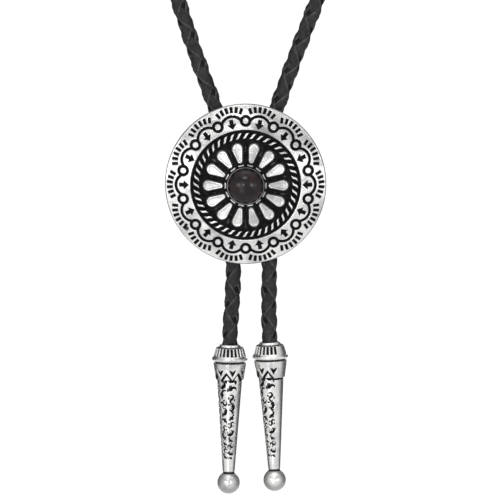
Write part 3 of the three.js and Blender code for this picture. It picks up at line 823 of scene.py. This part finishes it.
def tip_profile():
    """The tip's outline from the ball's foot up to the mouth and down its socket, as even steps along its
    lines and arcs, then averaged a little so that each corner is soft."""
    neck = math.asin(TAPER_FOOT_RADIUS / BALL_RADIUS)
    ball_top = BALL_CENTRE + BALL_RADIUS * math.cos(neck)
    ball = [(BALL_RADIUS * math.sin(a), BALL_CENTRE - BALL_RADIUS * math.cos(a))
            for a in np.linspace(0.05, math.pi - neck, 60)]
    band = [(COLLAR_RADIUS - BAND_BULGE * (1 - math.sin(a)), mix(BAND_FOOT, BAND_TOP, a / math.pi))
            for a in np.linspace(0, math.pi, 12)]
    corners = ball + [
        (TAPER_FOOT_RADIUS - 0.12, ball_top + 0.25),
        (TAPER_FOOT_RADIUS, ball_top + 0.6),
        (TAPER_TOP_RADIUS, TAPER_TOP - 0.3),
        (CUP_FOOT_RADIUS, TAPER_TOP - 0.25),
        (CUP_TOP_RADIUS, CUP_TOP),
        (COLLAR_RADIUS - 2 * NECK_GROOVE, CUP_TOP + 0.05),
        (COLLAR_RADIUS - 2 * NECK_GROOVE, BAND_FOOT - 0.05),
    ] + band + [
        (COLLAR_RADIUS - 0.5, BAND_TOP + 0.15),
        (FLUTED_TOP_RADIUS, -MOUTH_HEIGHT - 0.15),
        (FLUTED_TOP_RADIUS - 0.3, -MOUTH_HEIGHT),
        (MOUTH_RADIUS, -MOUTH_HEIGHT),
        (MOUTH_RADIUS, -0.15),
        (MOUTH_RADIUS - 0.15, 0.0),
        (SOCKET_RADIUS + 0.05, 0.0),
        (SOCKET_RADIUS, -0.3),
    ]
    corners = np.array(corners)
    steps = np.hypot(*np.diff(corners, axis=0).T)
    along = np.concatenate([[0], np.cumsum(steps)])
    even = np.linspace(0, along[-1], int(along[-1] / TIP_STEP))
    radius = np.interp(even, along, corners[:, 0])
    height = np.interp(even, along, corners[:, 1])
    kernel = np.array([1, 2, 1]) / 4
    radius[1:-1] = np.convolve(radius, kernel, "valid")
    height[1:-1] = np.convolve(height, kernel, "valid")
    radius = np.concatenate([radius, [SOCKET_RADIUS, SOCKET_RADIUS, 0.2]])
    height = np.concatenate([height, [-2.0, -SOCKET_DEPTH, -SOCKET_DEPTH]])
    return radius, height


def comma_distance(x, y, radius, start, sweep, thick):
    """Signed distance to a comma: an arc round (0, 0) with a round head at start that thins to nothing."""
    share = ((np.arctan2(y, x) - start) % TURN) / sweep
    line = np.abs(np.hypot(x, y) - radius) - thick * (1 - np.clip(share, 0, 1)) ** 0.6
    head = np.hypot(x - radius * np.cos(start), y - radius * np.sin(start)) - thick
    return np.minimum(np.where(share < 1, line, 1.0), head)


def stroke_distance(x, y, angle, length, thick):
    """Signed distance to a straight stroke through (0, 0) with round ends."""
    along = x * math.cos(angle) + y * math.sin(angle)
    across = y * math.cos(angle) - x * math.sin(angle)
    return np.hypot(np.maximum(np.abs(along) - length / 2, 0), across) - thick


def curled_leaf(x, y):
    """Two commas, one round the other, with a dot and a small diamond."""
    curl = comma_distance(x - 0.02, y + 0.05, 0.26, 0.4, 3.4, 0.185)
    leaf = comma_distance(x + 0.10, y - 0.02, 0.56, -0.85, 1.15, 0.11)
    heart = np.abs(x + 0.02) + 0.7 * np.abs(y + 0.04) - 0.06
    diamond = np.abs(x + 0.36) + 0.6 * np.abs(y - 0.30) - 0.16
    return np.minimum.reduce([curl, leaf, heart, diamond])


def vine(x, y):
    """An S of two commas that share their head, with a bud in each bend."""
    marks = []
    for way in (1, -1):
        marks.append(comma_distance(way * x, way * y - 0.27, 0.27, -math.pi / 2, 3.7, 0.16))
        marks.append(np.abs(way * x + 0.34) + 0.7 * np.abs(way * y - 0.24) - 0.13)
    return np.minimum.reduce(marks)


def veined_leaf(x, y):
    """A comma with three short slanting veins beside it."""
    distance = comma_distance(x - 0.16, y + 0.12, 0.30, 2.3, 2.9, 0.15)
    for offset in (-0.2, 0.0, 0.2):
        vein_x, vein_y = x + 0.16 - 0.5 * offset, y - 0.22 - 0.9 * offset
        distance = np.minimum(distance, stroke_distance(vein_x, vein_y, 0.45, 0.42 - abs(offset), 0.055))
    return distance


def scroll_distance(angle, height, right):
    """Signed distance to the scrollwork on the taper. Staggered columns of square cells run down it, and the
    cells shrink as the taper does: down the tip they count the length over the radius. The cells hold three
    motifs in turn, twisted and mirrored from one cell to the next."""
    radius = np.clip(TAPER_TOP_RADIUS + TAPER_SLOPE * (height - TAPER_TOP), TAPER_FOOT_RADIUS, None)
    down = np.log(SCROLL_TOP_RADIUS / np.minimum(radius, SCROLL_TOP_RADIUS)) / TAPER_SLOPE
    last = math.log(SCROLL_TOP_RADIUS / SCROLL_FOOT_RADIUS) / TAPER_SLOPE / SCROLL_CELL
    column = np.floor((right - angle) / SCROLL_CELL)
    aside = (right - angle) / SCROLL_CELL - column - 0.5
    place = down / SCROLL_CELL + 0.5 * (column % 2)
    row = np.floor(place)
    below = place - row - 0.5
    way = 1 - 2 * ((column + row) % 2)
    twist = SCROLL_TWIST * np.sin(3.1 * column + 1.7 * row)
    grown = 1 + SCROLL_GROWTH * np.sin(2.3 * row + 4.1 * column)
    x = way * (aside * np.cos(twist) - below * np.sin(twist)) / grown
    y = (aside * np.sin(twist) + below * np.cos(twist)) / grown
    motif = ((column + 2 * row) % 3).astype(int)
    distance = np.choose(motif, [curled_leaf(x, y), vine(x, y), veined_leaf(x, y)])
    middle = row + 0.5 - 0.5 * (column % 2)
    kept = (column >= 0) & (column < SCROLL_COLUMNS) & (middle < last)
    return np.where(kept, distance * SCROLL_CELL * radius, 1.0)


def add_tip(name, node, mouth, lean, ornament_ends, silver):
    """A cast tip: the profile turned about its axis, with the flutes, chevrons, zigzag and scrollwork sunk
    into its front and left side and blackened. The ball is darkened by painted shade, and left bright by a
    painted highlight at its front. Inside the socket it is painted black as shade. The ends are the angles
    where the scrollwork, flutes and zigzag stop on the right. Past the zigzag the cup's foot runs on as a
    plain line."""
    scroll_right, flutes_right, zigzag_right = ornament_ends
    radius, height = tip_profile()
    r, turn, z = turned(radius, height, TIP_COLUMNS)
    turn -= math.pi
    outside = (np.arange(len(radius)) < len(radius) - SOCKET_ROWS)[:, None]

    flute_aside = ((turn - flutes_right) / FLUTE_PITCH) % 1 - 0.5
    flute_x = flute_aside * FLUTE_PITCH * r
    flute = box_distance(flute_x, z, FLUTE_WIDTH / 2, BAND_TOP + 0.25, -MOUTH_HEIGHT - 0.2)
    flute = np.where((turn > ORNAMENT_LEFT) & (turn < flutes_right), flute, 1.0)

    above = z - TAPER_TOP
    aside = np.abs(((turn - CHEVRON_TURN) / CHEVRON_PITCH + 0.5) % 1 - 0.5) * CHEVRON_PITCH
    zigzagged = (turn > ORNAMENT_LEFT) & (turn < zigzag_right)
    chevroned = (turn > ORNAMENT_LEFT) & (turn < zigzag_right + CHEVRON_PITCH * 0.45)
    vee_x = aside * VEE_RADIUS
    vee_line = VEE_POINT + VEE_RISE + vee_x * VEE_STEEPNESS
    vee = np.abs(above - vee_line) * VEE_SLANT - VEE_HALF * smooth(*VEE_FADE, vee_x)
    vee = np.maximum(vee, above - VEE_TOP)
    vee = np.where(chevroned & (above > VEE_FOOT), vee, 1.0)
    edge = np.where(zigzagged, ZIGZAG_HEIGHT * 2 * aside / CHEVRON_PITCH, 0.0)
    below_edge = smooth(*ZIGZAG_WALL, above - edge) * smooth(*ZIGZAG_REACH, above) * (z < CUP_TOP)
    taper_radius = TAPER_TOP_RADIUS + TAPER_SLOPE * above
    r = mix(r, np.minimum(r, taper_radius), below_edge * outside)
    slant = np.where(zigzagged, CUP_LINE_SLANT, 1.0)
    line = np.abs(above - edge + CUP_LINE_DROP) * slant - CUP_LINE_HALF
    line = np.where(turn > zigzag_right + CUP_LINE_RUN, 1.0, line)

    scroll = scroll_distance(turn, z, scroll_right)
    scroll = np.where(above < np.minimum(edge - SCROLL_DROP, SCROLL_TOP), scroll, 1.0)

    cut = np.zeros_like(r)
    for distance, depth in ((flute, FLUTE_DEPTH), (vee, VEE_DEPTH), (scroll, SCROLL_DEPTH)):
        cut = np.maximum(cut, depth * smooth(*CUT_WALL, distance))
    cut = np.maximum(cut, CUP_LINE_DEPTH * smooth(*CUP_LINE_WALL, line))
    r = r - cut * outside

    groove = smooth(NECK_GROOVE / 2 + 0.2, 0.0, np.abs(z - (CUP_TOP + NECK_GROOVE / 2)))
    collar_step = smooth(0.3, 0.0, np.abs(z + MOUTH_HEIGHT)) * (radius[:, None] < FLUTED_TOP_RADIUS)
    ball_neck = smooth(0.5, 0.15, np.abs(z - (BALL_CENTRE + BALL_RING)))
    # Painted highlight on the ball: a patch facing the front stays bright, and painted shade darkens the rest
    facing = r * np.cos(turn) * math.cos(BALL_HIGHLIGHT_LIFT) + (z - BALL_CENTRE) * math.sin(BALL_HIGHLIGHT_LIFT)
    painted_highlight = smooth(*BALL_HIGHLIGHT_EDGE, facing / BALL_RADIUS)
    ball = z < BALL_CENTRE + BALL_SHADE_TOP
    black = np.maximum.reduce([
        smooth(*FLUTE_BLACK, flute), smooth(*CUT_BLACK, vee), smooth(*CUT_BLACK, scroll),
        smooth(*CUP_LINE_BLACK, line), groove, 0.9 * collar_step, 0.95 * ball_neck,
        BALL_PAINTED_SHADE * (1 - painted_highlight) * ball,
    ])
    # Inside the socket the metal is painted black as shade.
    tarnish = np.where(outside, black, 1.0)

    side = np.stack([r * np.sin(turn), -r * np.cos(turn), z], axis=-1)
    tilt = np.array([
        [math.cos(lean), 0, math.sin(lean)],
        [0, 1, 0],
        [-math.sin(lean), 0, math.cos(lean)],
    ])
    points = mouth + side @ tilt.T
    return add_piece(name, [points], silver, {"tarnish": [tarnish]}, node)


# Cords

def curve_through(points, count):
    """Even steps along a centripetal Catmull-Rom curve: each stretch is a cubic whose end slopes come from
    the neighbouring points, weighed by the square roots of their distances."""
    points = np.asarray(points, float)
    padded = np.concatenate([[2 * points[0] - points[1]], points, [2 * points[-1] - points[-2]]])
    t = np.linspace(0, 1, 60, endpoint=False)[:, None]
    stretches = []
    for p0, p1, p2, p3 in zip(padded, padded[1:], padded[2:], padded[3:]):
        d0, d1, d2 = (math.sqrt(np.linalg.norm(b - a)) for a, b in ((p0, p1), (p1, p2), (p2, p3)))
        slope1 = ((p1 - p0) / d0 - (p2 - p0) / (d0 + d1) + (p2 - p1) / d1) * d1
        slope2 = ((p2 - p1) / d1 - (p3 - p1) / (d1 + d2) + (p3 - p2) / d2) * d1
        cubic = p1 + slope1 * t + (3 * (p2 - p1) - 2 * slope1 - slope2) * t ** 2
        stretches.append(cubic + (2 * (p1 - p2) + slope1 + slope2) * t ** 3)
    fine = np.concatenate(stretches + [points[-1:]])
    along = np.concatenate([[0], np.cumsum(np.linalg.norm(np.diff(fine, axis=0), axis=1))])
    even = np.linspace(0, along[-1], count)
    return np.stack([np.interp(even, along, axis) for axis in fine.T], axis=-1), even


def carried_frames(path):
    """Two directions across the path at each point that turn no more than the path does: each is the one
    before, made square to the new direction. The path is short enough for a plain loop over its points."""
    ahead = np.gradient(path, axis=0)
    ahead /= np.linalg.norm(ahead, axis=1, keepdims=True)
    first = np.cross(ahead[0], [0.0, 1.0, 0.0])
    across = np.empty_like(path)
    for index, direction in enumerate(ahead):
        first = first - direction * first.dot(direction)
        first /= np.linalg.norm(first)
        across[index] = first
    return across, np.cross(ahead, across)


def braid(points, step, sides, phase):
    """The grids of four flat strands round a path. Two turn one way and two the other at an even rate. The
    ones that turn one way lie outside where the others lie inside, by a cosine of twice their turn. A
    strand's section is a flattened oval bent to the cord's round, and it lies square to the strand."""
    length = curve_through(points, 200)[1][-1]
    path, along = curve_through(points, max(int(length / step), 8))
    across, beyond = carried_frames(path)
    around = np.arange(sides) * TURN / sides
    wide = np.sign(np.cos(around)) * np.abs(np.cos(around)) ** STRAND_POWERS[0]
    thick = np.sign(np.sin(around)) * np.abs(np.sin(around)) ** STRAND_POWERS[1]
    rate = math.pi / BRAID_REPEAT
    rise = math.atan(rate * STRAND_PATH_RADIUS)
    top = STRAND_PATH_RADIUS + STRAND_WEAVE + STRAND_THICKNESS / 2
    shift = wide * STRAND_WIDTH / 2
    thin = STRAND_THICKNESS / 2 * (1 - STRAND_THINNING * wide ** 2)
    grids, edges, under_shades = [], [], []
    for way in (1, -1):
        for side in (0, math.pi):
            swing = np.cos(2 * rate * along)[:, None] * way
            turn = (rate * along)[:, None] + shift * math.cos(rise) / STRAND_WRAP_RADIUS
            turn = way * turn + side + phase
            centre = STRAND_PATH_RADIUS + STRAND_WEAVE * swing
            radius = centre + thick * thin - STRAND_TUCK * wide ** 2 * (1 + swing)
            place = np.interp(
                (along[:, None] - shift * math.sin(rise)).ravel(), along, np.arange(len(along)),
            ).reshape(len(along), sides)
            low = np.clip(place.astype(int), 0, len(along) - 2)
            rest = (place - low)[..., None]
            middle = mix(path[low], path[low + 1], rest)
            u = mix(across[low], across[low + 1], rest)
            v = mix(beyond[low], beyond[low + 1], rest)
            reach = np.maximum(radius, STRAND_INNERMOST)[..., None]
            turn = turn[..., None]
            grids.append(middle + reach * (u * np.cos(turn) + v * np.sin(turn)))
            edges.append(np.abs(wide) + 0 * along[:, None])
            # Painted shade, darker the deeper a strand lies below the crests
            under_shades.append(smooth(*STRAND_SHADE, top - radius))
    return grids, edges, under_shades, path, length


def core(path):
    """A round core that closes the gaps between the strands."""
    path = path[:: max(len(path) // CORE_ROWS, 1)]
    across, beyond = carried_frames(path)
    turn = np.arange(CORE_SIDES) * TURN / CORE_SIDES
    ring = across[:, None] * np.cos(turn)[:, None] + beyond[:, None] * np.sin(turn)[:, None]
    return path[:, None] + CORE_RADIUS * ring


def add_cord(name, node, points, step, sides, phase, leather):
    """A braided cord with its core, in one mesh."""
    grids, edges, under_shades, path, length = braid(points, step, sides, phase)
    inside = core(path)
    grids.append(inside)
    edges.append(np.zeros(inside.shape[:2]))
    # The core is painted in shade.
    under_shades.append(np.full(inside.shape[:2], CORE_SHADE))
    attributes = {"edge": edges, "under": under_shades}
    piece = add_piece(name, grids, leather, attributes, node)
    return piece, path, length


def tail_points(points, mouth, lean):
    """A tail's points with the stretch in its tip's socket, which follows the tip's own axis."""
    down = np.array([-math.sin(lean), 0, -math.cos(lean)])
    reach = SOCKET_DEPTH - SEAT_GAP
    return points + [(mouth + down * share * reach).tolist() for share in (-0.5, 0, 0.5, 1)]


def add_tail(name, node, points, mouth, lean, phase, leather):
    """A hanging tail from the slide into its tip."""
    route = tail_points(points, mouth, lean)
    piece, path, length = add_cord(name, node, route, TAIL_STEP, TAIL_SIDES, phase, leather)
    (path[0] * MM).tolist()
    length * MM
    (path * MM).tolist()


# Studio

def add_floor():
    """A pale floor below the tie."""
    mesh = bpy.data.meshes.new("floor")
    half = FLOOR_WIDTH / 2
    corners = [(x * half, y * half, FLOOR_LEVEL) for x, y in ((-1, -1), (1, -1), (1, 1), (-1, 1))]
    mesh.from_pydata(corners, [], [(0, 1, 2, 3)])
    floor = new_object("floor", mesh)
    mesh.materials.append(finish_material("pale_floor", lambda tree: {
        "Base Color": tree.blend(tree.noise(tree.place(), 3.0), grey(0.86), grey(0.90)),
        "Roughness": 0.9,
        "Emission Color": grey(1.0),
        "Emission Strength": 0.3,
    }))


def add_light(name, azimuth, elevation, distance, size, radiance):
    """A softbox that faces the slide. Its place is given in degrees from the front to the right and upwards,
    and in metres. Its power is pi times its radiance and its area."""
    data = bpy.data.lights.new(name, "AREA")
    data.shape = "RECTANGLE"
    data.size, data.size_y = size
    data.energy = radiance * math.pi * size[0] * size[1]
    light = new_object(name, data)
    turn, lift = math.radians(azimuth), math.radians(elevation)
    away = np.array([math.sin(turn) * math.cos(lift), -math.cos(turn) * math.cos(lift), math.sin(lift)])
    light.location = SLIDE_PLACE * MM + away * distance
    light.rotation_euler = (math.pi / 2 - lift, 0, turn)


def add_studio():
    """A pale tent in front, a little dimmer in a high band, that is open at the sides and behind, and
    softboxes inside it. The camera sees a plain white backdrop."""
    scene = bpy.context.scene
    scene.view_settings.view_transform = "Standard"
    scene.world = bpy.data.worlds.new("studio")
    tree = Tree(scene.world)
    direction = tree.node("ShaderNodeTexCoord", {}, output=0)
    behind = tree.node("ShaderNodeSeparateXYZ", {}, direction, output=1)
    upward = tree.node("ShaderNodeSeparateXYZ", {}, direction, output=2)
    high_band = upward.step(0.30, 0.42) * (1.0 - upward.step(0.56, 0.66))
    tent = 0.10 + (behind * -1.0).step(-0.5, 0.32) * (0.85 - high_band * 0.25)
    tent = tent + behind.step(0.93, 0.99) * 0.3 + upward.step(0.5, 0.9) * 0.3
    around = tree.node("ShaderNodeBackground", {}, tent, 1.0)
    backdrop = tree.node("ShaderNodeBackground", {}, grey(1.0), 1.05)
    seen = tree.node("ShaderNodeLightPath", {}, output=0)
    tree.node("ShaderNodeOutputWorld", {}, tree.node("ShaderNodeMixShader", {}, seen, around, backdrop))
    add_floor()
    add_light("top_box", -4, 33, 0.9, (0.26, 0.11), 7)
    add_light("left_box", -42, 2, 0.9, (0.16, 0.34), 0.6)
    add_light("right_box", 40, 0, 0.9, (0.12, 0.30), 1.3)
    add_light("left_glint", -29, 2, 0.9, (0.16, 0.14), 6)
    add_light("right_glint", 24, 2, 0.9, (0.16, 0.14), 6.3)
    add_light("left_screen", -16, -9, 1.0, (0.32, 0.8), 0.95)
    add_light("overhead", 0, 75, 0.9, (0.6, 0.4), 0.9)
    add_light("back_box", 170, 15, 1.0, (0.6, 0.6), 1.2)
    add_light("spark", -9, 2, 1.2, (0.03, 0.03), 170)


add_camera()
silver = antique_silver()
leather = braided_leather()

tip_left = add_tip("cast_tip_left", "tip_left", LEFT_MOUTH, LEFT_LEAN, LEFT_ORNAMENT_ENDS, silver)
tip_right = add_tip("cast_tip_right", "tip_right", RIGHT_MOUTH, RIGHT_LEAN, RIGHT_ORNAMENT_ENDS, silver)
add_cord("neck_cord", "cord_neck_loop", LOOP_POINTS, NECK_STEP, NECK_SIDES, NECK_PHASE, leather)
add_tail(
    "tail_left", "cord_tail_left", LEFT_TAIL_POINTS, LEFT_MOUTH, LEFT_LEAN,
    LEFT_TAIL_PHASE, leather,
)
add_tail(
    "tail_right", "cord_tail_right", RIGHT_TAIL_POINTS, RIGHT_MOUTH, RIGHT_LEAN,
    RIGHT_TAIL_PHASE, leather,
)

add_border(silver)
add_field(silver)
add_stone(dark_stone())
add_slide(plain_metal())
add_studio()
